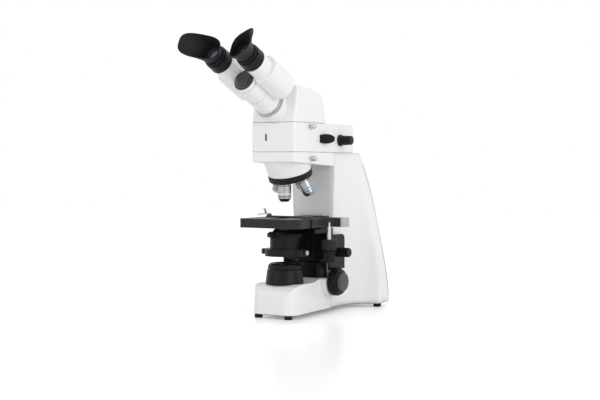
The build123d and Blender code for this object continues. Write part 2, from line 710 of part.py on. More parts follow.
def spring_finger():
    """Curved metal finger that holds the slide, with its upright thumb lever."""
    x, y = FINGER_PIVOT
    low = STAGE_TOP + HOLDER_LIFT + 4.4 + GAP
    tip = (x + 3.0, y - FINGER_REACH)
    bend = Spline((x, y), (x - 6.0, y - 12), (x - 5.0, y - FINGER_REACH + 8), tip)
    blade = Pos(0, 0, low) * extrude(trace(bend, 4.4), 1.6)
    eye = post(4.2, (low, low + 1.6), x, y)
    lever = block((x - 9.5, x - 3.5), (y - 3, y + 3), (low, low + 1.6))
    grip = Pos(x - 8.5, y, low + 4.8) * Rot(0, -22, 0) * Box(1.6, 6, 10.5)
    return eye + blade + lever + grip - post(1.6 + RUN, (low - 5, low + 12), x, y)


# Condenser


def condenser_holder():
    low, high = COND_HOLDER_Z
    ring = post(COND_HOLDER_R, (low, high))
    left = block((-41, -24), (-8, 8), (low + 2, high - 1))
    right = block((22, 41.5), (-13, 9), (low, high - 1.5))
    neck = block((-15, 15), (20, GUIDE_Y - GAP), (low, high))
    back = block((-19, 19), (GUIDE_Y - 6, GUIDE_Y - GAP), (low - 4, high + 16))
    body = ring + left + right + neck + back
    body = body - post(COND_R + SEAT, (low - 1, high + 20))
    for side in (-1, 1):
        body = body - rod(2.2 + RUN, sorted((side * 24, side * 60)), 0, (low + high) / 2)
    return body


def condenser_body():
    low, high = COND_BODY_Z
    z = COND_TOP_Z
    lens = COND_LENS_R + SEAT
    return spin(
        (12, low), (COND_R - 1, low), (COND_R, low + 1), (COND_R, high), (COND_R - 3, high), (COND_R - 3, z[0]),
        (IRIS_R - 0.5, z[0]), (IRIS_R, z[0] + 0.6), (IRIS_R, z[0] + 2.2), (COND_R + 1, z[1]), (COND_NOSE_R, z[1]),
        (COND_NOSE_R - 3, COND_TOP - 1.5), (lens + 2, COND_TOP), (lens, COND_TOP), (lens, COND_TOP - 4),
        (12, COND_TOP - 10),
    )


def condenser_lens():
    top, r = COND_TOP, COND_LENS_R
    return spin((0, top - 4), (r, top - 4), (r, top - 0.3), (0, top - 0.3))


def iris_ring():
    """Ring of the aperture diaphragm with its lever at the front."""
    low, high = IRIS_Z
    ring = post(IRIS_R, (low, high)) - post(COND_R - 3 + GAP, (low - 1, high + 1))
    lever = block((-2, 2), (-IRIS_R - 9, -IRIS_R + 3), (low + 0.6, high - 0.6))
    tip = Pos(0, -IRIS_R - 9, (low + high) / 2) * Sphere(2.6)
    return ring + lever + tip


def centring_screw(side):
    low, high = COND_HOLDER_Z
    stem = rod(2.2, sorted((side * (COND_R + 1.0), side * 44)), 0, (low + high) / 2)
    head = along_x(fluted(4.2, 0.4, (0, 4.5), 10, 0.9), 42.5, 0, (low + high) / 2, side)
    return stem + head


def condenser_drive():
    """Knob and cross shaft that raise the condenser."""
    x0, x1 = COND_KNOB_X
    knob = along_x(fluted(COND_KNOB_R, 0.6, (0, x1 - x0 - 1), 14, 1.3), x0, COND_KNOB_Y, COND_KNOB_Z)
    cap = rod(COND_KNOB_R - 1.2, (x1 - 1.2, x1), COND_KNOB_Y, COND_KNOB_Z)
    collar = rod(4.8, (CARRIER_W + GAP, x0 + 0.1), COND_KNOB_Y, COND_KNOB_Z)
    shaft = rod(COND_SHAFT_R, (COND_SHAFT_X, x0 + 1), COND_KNOB_Y, COND_KNOB_Z)
    return knob + cap + collar + shaft


# Nosepiece and objectives


def turret_ring():
    slope = tan(radians(TURRET_TILT))
    top = RING_START
    middle = top + SKIRT_TOP + SKIRT_R * slope
    disc = spin(
        (10.0 + RUN, top), (RING_R - 1, top), (RING_R, top + 1), (RING_R, top + RING_H - 1.2),
        (RING_R - 1.2, top + RING_H), (SKIRT_R, top + RING_H), (SKIRT_R, top + SKIRT_TOP),
        (10.0 + RUN, middle - (10.0 + RUN) * slope),
    )
    thread = post(THREAD_R + SEAT, (SEAT_DIST - THREAD_L - 6, SEAT_DIST + 1))
    bores = [Rot(0, 0, 90 * i) * Rot(TURRET_TILT, 0, 0) * thread for i in range(4)]
    return in_turret(disc - bores)


def objective(turn, length, r, tip_r):
    """Barrel with shoulder, knurled band, engraved steps, nose and front lens recess."""
    s = SEAT_DIST
    end = s + length
    barrel = spin(
        (3, s - THREAD_L), (THREAD_R, s - THREAD_L), (THREAD_R, s + 0.05), (r - 1.0, s + 0.05), (r - 1.0, s + 4),
        (r, s + 4.4), (r, s + 9), (r - 0.5, s + 9.4), (r - 0.5, s + 10.4), (r, s + 10.8), (r, end - 9),
        (r - 0.6, end - 8.4), (r - 0.6, end - 5.2), (tip_r + 1.2, end - 1.2), (tip_r, end), (4, end), (3, end - 1.2),
    )
    return in_turret(Rot(0, 0, turn) * Rot(TURRET_TILT, 0, 0) * barrel)


# Incident light module


def module_housing():
    low = ARM_TOP + SEAM
    high = MODULE_TOP - SEAM
    body = block((-HALF_W, HALF_W), (FRONT_Y, MODULE_REAR), (low, high))
    uprights = body.edges().filter_by(Axis.Z).group_by(Axis.Y)
    body = fillet(uprights[0] + uprights[-1], CORNER_R)
    w = HALF_W - 1.0
    foot = block((-w, w), (FRONT_Y + 1, MODULE_REAR - 1), (ARM_TOP, low + 0.1))
    foot = fillet(foot.edges().filter_by(Axis.Z), CORNER_R - 1)
    seat = block((-w, w), (FRONT_Y + 1, HEAD[-1][0] - 1), (high - 0.1, MODULE_TOP - SEAT))
    seat = fillet(seat.edges().filter_by(Axis.Z), CORNER_R - 1)
    body = body + foot + seat
    body = body - post(HEAD_FOOT_R + GAP, (MODULE_TOP - HEAD_FOOT_H - SEAT, MODULE_TOP + 1))
    w, h = SLIDER_BAR[0] / 2 + GAP, SLIDER_BAR[1] / 2 + GAP
    tunnel = block((-HALF_W + 3, HALF_W + EPS), (SLIDER_Y - w, SLIDER_Y + w), (SLIDER_Z - h, SLIDER_Z + h))
    window = block(
        (SLOT_X - SLOT_W / 2, SLOT_X + SLOT_W / 2), (FRONT_Y - EPS, FRONT_Y + 5), SLOT_Z
    )
    window = fillet(window.edges().filter_by(Axis.Y), 0.9)
    knob = along_x(post(KNOB_SHAFT_R + RUN, (-16, 2)), HALF_W, KNOB_Y, KNOB_Z)
    clamp = along_x(post(2.5 + RUN, (-10, 4)), HALF_W, CLAMP_Y[0], CLAMP_Z[0])
    return body - tunnel - window - knob - clamp


def module_window():
    w = SLOT_W / 2 - SEAT / 2
    glass = block(
        (SLOT_X - w, SLOT_X + w), (FRONT_Y + 1.0, FRONT_Y + 5), (SLOT_Z[0] + SEAT / 2, SLOT_Z[1] - SEAT / 2)
    )
    return fillet(glass.edges().filter_by(Axis.Y), 0.85)


def module_slider():
    """Bar through the module with its eye-shaped grip."""
    w, h = SLIDER_BAR[0] / 2, SLIDER_BAR[1] / 2
    bar = block((-HALF_W + 4, HALF_W + 0.6), (SLIDER_Y - w, SLIDER_Y + w), (SLIDER_Z - h, SLIDER_Z + h))
    oval = Plane.YZ.offset(HALF_W + 0.5) * Pos(SLIDER_Y, SLIDER_Z) * Ellipse(10.0, 8.3)
    grip = extrude(oval, SLIDER_LEN)
    facet = Pos(HALF_W + SLIDER_LEN + 6, SLIDER_Y - 12, SLIDER_Z) * Rot(0, 0, 38) * Box(22, 40, 30)
    return bar + (grip - facet)


def module_knob():
    big, small = KNOB_R
    flange = spin((0, 0.5), (big, 0.5), (big, 3.0), (big - 1.2, 4.2), (0, 4.2))
    grip = spin((0, 4), (big - 1.4, 4), (small + 0.5, KNOB_LEN - 1.2), (small, KNOB_LEN), (0, KNOB_LEN))
    groove = Pos(small + 2.4, 0, KNOB_LEN - 8) * Rot(0, -4.5, 0) * Cylinder(1.3, 18)
    grip = grip - [Rot(0, 0, 360 * i / 14) * groove for i in range(14)]
    stem = post(KNOB_SHAFT_R, (-14, 0.6))
    return along_x(flange + grip + stem, HALF_W, KNOB_Y, KNOB_Z)


def clamp_screw(index):
    head = spin((0, 0.4), (CLAMP_R - 1.2, 0.4), (CLAMP_R, 2.6), (CLAMP_R, CLAMP_LEN - 1), (CLAMP_R - 1, CLAMP_LEN),
                (0, CLAMP_LEN))
    stem = post(2.5, (-8, 0.5))
    return along_x(head + stem, HALF_W, CLAMP_Y[index], CLAMP_Z[index])


# Head and binocular


def head_housing():
    body = side_profile(HEAD, HALF_W)
    front = [e for e in body.edges() if e.center().Y < FRONT_Y + 8 and abs(e.center().X) > HALF_W - 1]
    front = [e for e in front if e.length > 30]
    body = fillet(front, CORNER_R)
    body = body + (in_hub(post(BOSS_R, (BOSS_S - 24, BOSS_S))) & block((-60, 60), (-120, 60), (MODULE_TOP, 450)))
    body = body + post(HEAD_FOOT_R, (MODULE_TOP - HEAD_FOOT_H, MODULE_TOP + 1))
    bore = in_hub(post(SPINDLE_R + RUN, (SPINDLE_BACK - 1, 0)))
    bed = in_hub(post(HUB_RING_R + GAP, (BOSS_S - 4 - SEAT, 0)))
    return body - bore - bed


def hub_spindle():
    """Metal ring on the boss and the spindle that both arms swing on."""
    ring = post(HUB_RING_R, (BOSS_S - 4, HUB_RING_S))
    spindle = post(SPINDLE_R, (SPINDLE_BACK, -DISC_T - 0.1))
    flange = post(DISC_R - 2, (SLEEVE_S[1] + GAP / 2, -DISC_T))
    pins = [Rot(0, 0, a) * Pos(0, -HUB_RING_R + 1.2, HUB_RING_S) * Cylinder(1.2, 2.0) for a in (-14, 14)]
    ring = ring - [Rot(0, 0, a) * Pos(0, -HUB_RING_R + 1.2, HUB_RING_S) * Cylinder(1.3, 2.2) for a in (40,)]
    return in_hub(ring + spindle + flange)


def scale_disc():
    return in_hub(post(DISC_R, (-DISC_T + 0.0, 0.0)))


def scale_rim():
    rim = spin(
        (DISC_R + SEAT, SLEEVE_S[1] + GAP), (RIM_R, SLEEVE_S[1] + GAP), (RIM_R, -1.0), (RIM_R - 0.9, -0.2),
        (DISC_R + SEAT, -0.2),
    )
    return in_hub(rim)


def arm_housing(side):
    """Left arm: its sleeve is at the front of the hinge. Right arm: its sleeve is at the rear."""
    a = radians(ARM_ANGLE)
    body = post(BODY_R, (BODY_BACK, BODY_FRONT), side * BODY_OFFSET * sin(a), BODY_OFFSET * cos(a))
    rear_rim = body.faces().sort_by(Axis.Z)[0].edges()
    body = chamfer(rear_rim, BODY_REAR_R / 2)
    front_rim = body.faces().sort_by(Axis.Z)[-1].edges()
    body = chamfer(front_rim, BODY_FRONT_R / 2)
    own, other = (SLEEVE_S, REAR_HUB_S) if side < 0 else (REAR_HUB_S, SLEEVE_S)
    clear = SLEEVE_OUT_R + GAP
    if side < 0:
        body = body - post(clear, (REAR_HUB_S[0] - 1, REAR_HUB_S[1] + GAP))
        body = body - post(RIM_R + GAP, (SLEEVE_S[1], BODY_FRONT + 1))
    else:
        body = body - post(clear, (SLEEVE_S[0] - GAP, BODY_FRONT + 1))
    body = body + post(SLEEVE_OUT_R, own)
    body = body - post(SPINDLE_R + RUN, (own[0] - 1, own[1] + 1))
    tube = post(TUBE_R, (BODY_FRONT - 0.2, TUBE_END)) - post(TUBE_BORE_R, (BARREL_PLUG_S - 1, TUBE_END + 1))
    return in_hub(body + Pos(side * SPREAD, RISE, 0) * tube)


def eyepiece_barrel(side):
    low, high = BARREL_S
    wall = 2.0
    barrel = spin(
        (BARREL_PLUG_R - wall, BARREL_PLUG_S), (BARREL_PLUG_R, BARREL_PLUG_S), (BARREL_PLUG_R, low),
        (BARREL_R[0] - 0.6, low), (BARREL_R[0], low + 0.6), (BARREL_R[1], high), (NECK_R, high), (NECK_R, NECK_S),
        (EYE_LENS_R + SEAT, NECK_S), (EYE_LENS_R + SEAT, NECK_S - 5), (BARREL_PLUG_R - wall, NECK_S - 9),
    )
    return in_hub(Pos(side * SPREAD, RISE, 0) * barrel)


def eye_lens(side):
    return in_hub(Pos(side * SPREAD, RISE, 0) * lens(EYE_LENS_R, NECK_S - 5, NECK_S - 0.8, 1.4))


def diopter_ring(side):
    low, high = DIOPTER_S
    ring = spin(
        (NECK_R + RUN, low), (DIOPTER_R - 0.5, low), (DIOPTER_R, low + 0.5), (DIOPTER_R, low + 2.0),
        (DIOPTER_R - 1.0, low + 2.3), (DIOPTER_R - 1.0, low + 3.0), (DIOPTER_R, low + 3.3),
        (DIOPTER_R - 0.6, high), (NECK_R + RUN, high),
    )
    return in_hub(Pos(side * SPREAD, RISE, 0) * ring)


def eyecup(side):
    """Soft cup whose outer side is drawn out into a wing."""
    mouth = Plane(
        origin=(side * CUP_MOUTH_OUT, 0, CUP_MOUTH_S),
        x_dir=(side * cos(radians(CUP_TILT)), 0, sin(radians(CUP_TILT))),
        z_dir=(-side * sin(radians(CUP_TILT)), 0, cos(radians(CUP_TILT))),
    )
    a, b = CUP_MOUTH
    collar = CUP_S + 5
    outer = loft([Plane.XY.offset(collar) * Circle(CUP_NECK_R), mouth * Ellipse(a, b)])
    outer = outer + post(CUP_NECK_R, (CUP_S, collar + 0.1))
    far = Plane(mouth.origin + mouth.z_dir * 0.6, x_dir=mouth.x_dir, z_dir=mouth.z_dir)
    start = NECK_S + 0.4
    inner = loft([Plane.XY.offset(start) * Circle(CUP_NECK_R - CUP_WALL - 1), far * Ellipse(a - CUP_WALL, b - CUP_WALL)])
    bore = post(NECK_R + RUN, (CUP_S - 1, start + 0.1))
    return in_hub(Pos(side * SPREAD, RISE, 0) * (outer - inner - bore))


def parts():
    blank = column_blank()
    made = {
        "base_casting": base_casting(),
        "column_casting": column_casting(blank),
        "rear_cover": rear_cover(blank),
        "trim_strips": Compound([trim_strip(blank, side, STRIP_W - SEAT, STRIP_T - SEAT) for side in (-1, 1)]),
        "arm_casting": arm_casting(),
        "base_plate": base_plate(),
        "feet": feet(),
        "power_inlet": power_inlet(),
        "dimmer_knob": dimmer_knob(),
        "lamp_housing": lamp_housing(),
        "field_ring": field_ring(),
        "field_lens": field_lens(),
        "focus_housing": focus_housing(),
        "coarse_shaft": coarse_shaft(),
        "guide_rail": guide_rail(),
        "stage_carrier": stage_carrier(),
        "stage_subplate": stage_subplate(),
        "stage_top": stage_top(),
        "rail_cap": rail_cap(),
        "holder_screws": holder_screws(),
        "y_drive": y_drive(),
        "x_drive": x_drive(),
        "slide_holder": slide_holder(),
        "spring_finger": spring_finger(),
        "condenser_holder": condenser_holder(),
        "condenser_body": condenser_body(),
        "condenser_lens": condenser_lens(),
        "iris_ring": iris_ring(),
        "condenser_drive": condenser_drive(),
        "turret_ring": turret_ring(),
        "module_housing": module_housing(),
        "module_window": module_window(),
        "module_slider": module_slider(),
        "module_knob": module_knob(),
        "head_housing": head_housing(),
        "hub_spindle": hub_spindle(),
        "scale_disc": scale_disc(),
        "scale_rim": scale_rim(),
    }
    for name, turn, length, r, tip_r in OBJECTIVES:
        made[name] = objective(turn, length, r, tip_r)
    for index, name in enumerate(("clamp_screw_head", "clamp_screw_module")):
        made[name] = clamp_screw(index)
    for name, side in (("left", -1), ("right", 1)):
        made["coarse_knob_" + name] = coarse_knob(side)
        made["fine_knob_" + name] = fine_knob(side)
        made["centring_screw_" + name] = centring_screw(side)
        made["arm_housing_" + name] = arm_housing(side)
        made["eye_lens_" + name] = eye_lens(side)
        made["eyepiece_barrel_" + name] = eyepiece_barrel(side)
        made["diopter_ring_" + name] = diopter_ring(side)
        made["eyecup_" + name] = eyecup(side)
    return made


os.makedirs("parts", exist_ok=True)
for name, solid in parts().items():
    export_step(Pos(-CENTRE[0], -CENTRE[1], 0) * solid, f"parts/{name}.step")
    print(name, len(solid.solids()), round(solid.volume))
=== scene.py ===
import bpy
import json
import math
import numpy as np
from mathutils import Matrix, Vector


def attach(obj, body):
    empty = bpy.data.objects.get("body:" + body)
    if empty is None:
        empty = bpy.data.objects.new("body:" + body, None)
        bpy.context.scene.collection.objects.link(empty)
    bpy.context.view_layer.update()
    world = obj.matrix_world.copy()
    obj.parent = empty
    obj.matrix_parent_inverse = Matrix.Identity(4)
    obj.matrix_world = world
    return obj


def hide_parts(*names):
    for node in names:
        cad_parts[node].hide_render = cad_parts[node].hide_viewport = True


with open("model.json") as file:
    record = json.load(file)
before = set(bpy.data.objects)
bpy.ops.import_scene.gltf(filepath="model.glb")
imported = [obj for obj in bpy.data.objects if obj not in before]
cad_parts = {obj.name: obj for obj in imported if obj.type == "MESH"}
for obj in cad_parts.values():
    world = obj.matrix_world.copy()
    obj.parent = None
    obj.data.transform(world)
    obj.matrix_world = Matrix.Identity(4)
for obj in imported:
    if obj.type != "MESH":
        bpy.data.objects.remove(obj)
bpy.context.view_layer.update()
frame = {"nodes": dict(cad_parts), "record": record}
nodes = frame["nodes"]

MM = 0.001

# Leaning parts, placed as in the model. The optical axis stands off the origin.
OPTICAL = Matrix.Translation((-0.0042, -0.0213, 0))
TUBE_ANGLE = math.radians(25)          # rise of the eye tubes above the level
HINGE_PLACE = (0, -0.1199, 0.3956)     # hinge of the binocular head, from the optical axis
HINGE = OPTICAL @ Matrix.Translation(HINGE_PLACE) @ Matrix.Rotation(math.pi / 2 - TUBE_ANGLE, 4, "X")
EYE_SPREAD = 0.031                     # half the distance between the eye tubes
EYE_RISE = 0.0184                      # eye tubes above the hinge
NOSE_TILT = math.radians(20)
NOSE_PLACE = (0, 0, 0.2927)            # centre of the nosepiece, from the optical axis
NOSE = OPTICAL @ Matrix.Translation(NOSE_PLACE) @ Matrix.Rotation(math.pi + NOSE_TILT, 4, "X")

# Ribbed bands: lower and upper end along their axis, and how many ribs
NOSE_GRIP = (0.0492, 0.0575, 120)
FOCUS_GRIP = (0.0470, 0.0488, 60)
OBJECTIVE_RIBS = 72

# Objectives: name, turn about the nosepiece in degrees, length in millimetres, colour of the ring
OBJECTIVES = [
    ("4x", 270, 29.0, (0.55, 0.03, 0.02)),
    ("10x", 0, 33.9, (0.80, 0.55, 0.05)),
    ("40x", 90, 37.0, (0.10, 0.35, 0.65)),
    ("100x", 180, 37.6, (0.75, 0.75, 0.72)),
]
SEAT = 0.0588                          # shoulder of an objective, from the centre of the nosepiece
KNURL = (0.0045, 0.0088)               # from the shoulder
UPPER_GROOVE = (0.0112, 0.0118)        # from the shoulder
COLOUR_RING = (-0.0142, -0.0122)       # from the tip
MIDDLE_GROOVE = (-0.0085, -0.0078)     # from the tip
LOWER_GROOVE = (-0.0052, -0.0046)      # from the tip
DARK_TIP = 0.0011

# Scale disc of the eye distance
TICKS = 36
TICK_RIM = (0.0138, 0.0152)            # inner and outer radius of the ticks
TICK_NARROW = 0.86                     # sine above which a tick shows
TICK_TOP = 0.002                       # level on the disc below which the ticks stand

STAGE_SHAFT_BARE = 0.1312              # level above which the stage drive's shaft is bare steel

# Eyecups, in millimetres. Levels run along the tube from the hinge, and X points away from the nose.
CUP_ROWS = 26
CUP_COLUMNS = 72
NECK_R = 16.9
NECK_LEVEL = 53.2
MOUTH_MIDDLE = (10, 1.0)
MOUTH_HALF = (30.5, 21.5)              # half length and half height of the mouth
MOUTH_SQUARE = 0.66                    # power that squares the corners of the mouth
MOUTH_LEVEL = 66                       # rim on the side of the nose
WING_RISE = 30                         # climb of the rim from there to the tip of the wing
WING_POWER = 1.1
FLARE_POWER = 1.6
CUP_WALL = 1.6

# Camera
LENS = 67.8
CAMERA_PLACE = Vector((1.053107, -1.616398, 0.2555))
CAMERA_TURN = math.radians(32.3)
CAMERA_DIP = math.radians(1.673)

# Studio: lamps by name, place, target, side in metres and power in watts
LAMPS = [
    ("key", (1.9, -0.6, 0.9), (0, 0, 0.25), 1.1, 11),
    ("fill", (-0.6, -1.9, 0.7), (0, 0.05, 0.2), 0.8, 3.5),
]
WORLD_LIGHT = 0.84                     # strength by which the world lights the part
WORLD_SEEN = 1.0                       # strength at which the camera and reflections see it
FLOOR_HALF = 4
FLOOR_GLOW = 0.22                      # lift of the floor to white, for the camera only

# Shades, and the part of a noise pattern's range that is used
WHITE = (0.83, 0.84, 0.85)
BLACK = (0.006, 0.006, 0.007)
MIDDLE = (0.3, 0.7)
WORN = (0.35, 0.7)


# Camera: the photograph's place and lens

def aim_camera():
    """Camera to the right of the user, just below the top of the stand, looking a little down."""
    data = bpy.data.cameras.new("camera")
    data.lens = LENS
    data.sensor_width = 36.0
    camera = bpy.data.objects.new("camera", data)
    bpy.context.collection.objects.link(camera)
    camera.location = OPTICAL @ CAMERA_PLACE
    camera.rotation_euler = (math.pi / 2 - CAMERA_DIP, 0, CAMERA_TURN)
    bpy.context.scene.camera = camera
    data.clip_end = 60


# Node building

class Wire:
    """An output socket of a material; arithmetic on it adds Math nodes."""

    def __init__(self, finish, socket):
        self.finish = finish
        self.socket = socket

    def math(self, operation, *values):
        return self.finish.node("ShaderNodeMath", {"operation": operation}, dict(enumerate(values)))

    def __add__(self, other):
        return self.math("ADD", self, other)

    __radd__ = __add__

    def __mul__(self, other):
        return self.math("MULTIPLY", self, other)

    __rmul__ = __mul__

    def __gt__(self, other):
        return self.math("GREATER_THAN", self, other)

    def __lt__(self, other):
        return self.math("LESS_THAN", self, other)

    def sine(self):
        return self.math("SINE", self)


class Finish:
    """A material of one surface finish."""

    def __init__(self, name):
        self.material = bpy.data.materials.new(name)
        self.material.use_nodes = True
        self.tree = self.material.node_tree
        self.tree.nodes.clear()
        self.place = self.node("ShaderNodeTexCoord", {}, {}, "Object")

    def node(self, kind, settings, values, output=0):
        """Adds a node, sets its settings, then gives its sockets their values or links."""
        made = self.tree.nodes.new(kind)
        for name, value in settings.items():
            setattr(made, name, value)
        for key, value in values.items():
            if isinstance(value, Wire):
                self.tree.links.new(value.socket, made.inputs[key])
            else:
                made.inputs[key].default_value = value
        return Wire(self, made.outputs[output])

    def noise(self, scale, detail=2.0):
        values = {"Vector": self.place, "Scale": scale, "Detail": detail}
        return self.node("ShaderNodeTexNoise", {}, values, "Fac")

    def span(self, value, reach, to_low, to_high):
        """Value carried from one range to another and held inside it."""
        values = {0: value, 1: reach[0], 2: reach[1], 3: to_low, 4: to_high}
        return self.node("ShaderNodeMapRange", {}, values)

    def mix(self, factor, first, second):
        """Colour between two colours."""
        return self.node("ShaderNodeMix", {"data_type": "RGBA"}, {0: factor, 6: first, 7: second}, 2)

    def local(self, matrix):
        """Object coordinates read in the frame of a leaning part."""
        values = {"Vector": self.place, "Location": matrix.to_translation(), "Rotation": matrix.to_euler()}
        return self.node("ShaderNodeMapping", {"vector_type": "TEXTURE"}, values)

    def parts(self, vector):
        """The three numbers of a vector."""
        made = self.node("ShaderNodeSeparateXYZ", {}, {0: vector})
        node = made.socket.node
        return [Wire(self, node.outputs[i]) for i in range(3)]

    def turn(self, vector):
        """Angle about the Z axis of a frame, from 0 to 1."""
        return self.node("ShaderNodeTexGradient", {"gradient_type": "RADIAL"}, {"Vector": vector}, "Fac")

    def ribs(self, vector, count):
        """Wave that rises and falls a number of times round the Z axis of a frame."""
        return (self.turn(vector) * (2 * math.pi * count)).sine()

    def soft_edges(self, radius):
        """Normal that rounds the edges, as paint and mouldings do."""
        return self.node("ShaderNodeBevel", {"samples": 6}, {"Radius": radius})

    def bump(self, height, distance, normal=None):
        values = {"Height": height, "Distance": distance, "Strength": 1.0}
        if normal:
            values["Normal"] = normal
        return self.node("ShaderNodeBump", {}, values)

    def surface(self, **sockets):
        """Closes the tree with the shader that carries these sockets."""
        named = {key.replace("_", " "): value for key, value in sockets.items()}
        shader = self.node("ShaderNodeBsdfPrincipled", {}, named)
        out = self.tree.nodes.new("ShaderNodeOutputMaterial")
        self.tree.links.new(shader.socket, out.inputs["Surface"])
        return self.material


def rgb(*values):
    return tuple(values) + (1.0,)


def shifted(shade, gain, lift=0.0):
    """Shade made lighter or darker."""
    return rgb(*(c * gain + lift for c in shade))


def between(height, low, high):
    """1 between two heights, 0 elsewhere."""
    return (height > low) * (height < high)


# Finishes

def satin_paint(name, shade, edge, rough=0.34):
    """Sprayed paint: a faint cloudiness, a fine orange peel and soft edges."""
    f = Finish(name)
    base = f.mix(f.noise(9.0, 3.0), shifted(shade, 0.965), rgb(*shade))
    rough_map = f.span(f.noise(38.0, 4.0), MIDDLE, rough - 0.04, rough + 0.06)
    normal = f.bump(f.noise(900.0, 1.0), 0.00002, f.soft_edges(edge))
    return f.surface(Base_Color=base, Roughness=rough_map, Normal=normal, Coat_Weight=0.15,
                     Coat_Roughness=0.12)


def moulded(name, shade, rough, grain=1400.0, depth=0.00003, edge=0.0006):
    """Black or grey moulding with a fine spark texture and slightly worn shine."""
    f = Finish(name)
    worn = f.span(f.noise(30.0, 5.0), WORN, 0.0, 1.0)
    base = f.mix(worn, rgb(*shade), shifted(shade, 1.3, 0.001))
    rough_map = f.span(worn, (0.0, 1.0), rough, rough - 0.07)
    normal = f.bump(f.noise(grain, 2.0), depth, f.soft_edges(edge))
    return f.surface(Base_Color=base, Roughness=rough_map, Normal=normal, Specular_IOR_Level=0.18)


def ribbed(name, matrix, grip, shade, rough):
    """Moulding with fine ribs round an axis, between two heights along it."""
    f = Finish(name)
    low, high, count = grip
    there = f.local(matrix)
    band = between(f.parts(there)[2], low, high)
    normal = f.bump(f.ribs(there, count) * band, 0.00022, f.soft_edges(0.0005))
    worn = f.noise(40.0, 4.0)
    base = f.mix(worn, rgb(*shade), shifted(shade, 1.4, 0.003))
    return f.surface(Base_Color=base, Roughness=f.span(worn, MIDDLE, rough, rough + 0.1), Normal=normal,
                     Specular_IOR_Level=0.2)


def turned_metal(name, shade, rough):
    """Machined steel with fine tool marks."""
    f = Finish(name)
    marks = f.noise(700.0, 3.0)
    base = f.mix(f.noise(60.0, 3.0), rgb(*shade), shifted(shade, 0.82))
    normal = f.bump(marks, 0.00001, f.soft_edges(0.0003))
    return f.surface(Base_Color=base, Roughness=f.span(marks, MIDDLE, rough, rough + 0.1), Normal=normal,
                     Metallic=1.0)


def objective_barrel(name, matrix, length, ring_shade):
    """Satin metal barrel with knurling near the shoulder, a coloured ring and dark grooves."""
    f = Finish(name)
    there = f.local(matrix)
    height = f.parts(there)[2]
    tip = SEAT + length

    def band(start, ends):
        return between(height, start + ends[0], start + ends[1])

    ring = band(tip, COLOUR_RING)
    groove = band(SEAT, UPPER_GROOVE) + band(tip, MIDDLE_GROOVE) + band(tip, LOWER_GROOVE)
    nose = height > tip - DARK_TIP
    metal = f.mix(f.noise(500.0, 3.0), rgb(0.46, 0.47, 0.48), rgb(0.36, 0.37, 0.38))
    dark = f.mix(groove + nose, metal, rgb(0.03, 0.03, 0.03))
    base = f.mix(ring, dark, rgb(*ring_shade))
    knurl = f.ribs(there, OBJECTIVE_RIBS) * band(SEAT, KNURL)
    normal = f.bump(knurl, 0.00018, f.soft_edges(0.0003))
    return f.surface(Base_Color=base, Roughness=f.span(f.noise(220.0, 2.0), MIDDLE, 0.20, 0.30),
                     Normal=normal, Metallic=f.span(ring + groove, (0.0, 1.0), 1.0, 0.0))


def coated_glass(name):
    """Dark coated lens with a faint colour at the rim, a painted reflection of the coating that grows as
    the surface turns away from the view.
    """
    f = Finish(name)
    # Painted reflection: the coating's purple tint is mixed into the colour wherever the surface faces
    # away from the view.
    rim = f.node("ShaderNodeLayerWeight", {}, {"Blend": 0.4}, "Facing")
    base = f.mix(rim, rgb(0.010, 0.014, 0.020), rgb(0.08, 0.05, 0.12))
    return f.surface(Base_Color=base, Roughness=f.span(f.noise(80.0), MIDDLE, 0.03, 0.06), Coat_Weight=1.0,
                     Coat_Roughness=0.02)


def soft_rubber(name):
    """Matt rubber with a fine grain, a little paler where it is handled."""
    f = Finish(name)
    worn = f.noise(26.0, 5.0)
    base = f.mix(f.span(worn, WORN, 0.0, 1.0), rgb(0.006, 0.006, 0.007), rgb(0.012, 0.012, 0.013))
    normal = f.bump(f.noise(1800.0, 2.0), 0.00003)
    return f.surface(Base_Color=base, Roughness=f.span(worn, MIDDLE, 0.52, 0.62), Normal=normal,
                     Specular_IOR_Level=0.2, Sheen_Weight=0.06, Sheen_Roughness=0.4)


def bare_above(name, level, shade, rough):
    """Black moulded knob whose shaft is bright steel above a level."""
    f = Finish(name)
    bare = f.parts(f.place)[2] > level
    black = f.mix(f.noise(40.0, 4.0), rgb(*shade), shifted(shade, 1.4, 0.003))
    base = f.mix(bare, black, rgb(0.62, 0.62, 0.62))
    return f.surface(Base_Color=base, Roughness=f.span(bare, (0.0, 1.0), rough, 0.24), Metallic=bare,
                     Normal=f.soft_edges(0.0005), Specular_IOR_Level=0.3)


def scale_face(name):
    """Glossy disc of the eye distance scale, with small ticks round its lower rim."""
    f = Finish(name)
    there = f.local(HINGE)
    x, y = f.parts(there)[:2]
    flat = f.node("ShaderNodeCombineXYZ", {}, {0: x, 1: y})
    reach = f.node("ShaderNodeVectorMath", {"operation": "LENGTH"}, {0: flat}, 1)
    tick = (f.ribs(there, TICKS) > TICK_NARROW) * between(reach, *TICK_RIM) * (y < TICK_TOP)
    base = f.mix(tick, rgb(0.035, 0.037, 0.042), rgb(0.55, 0.55, 0.55))
    return f.surface(Base_Color=base, Roughness=f.span(f.noise(60.0), MIDDLE, 0.16, 0.22), Coat_Weight=0.4,
                     Coat_Roughness=0.08)


def eye_tube(side):
    """Frame of an eye tube, on the left with side -1 and on the right with 1."""
    return HINGE @ Matrix.Translation((side * EYE_SPREAD, EYE_RISE, 0))


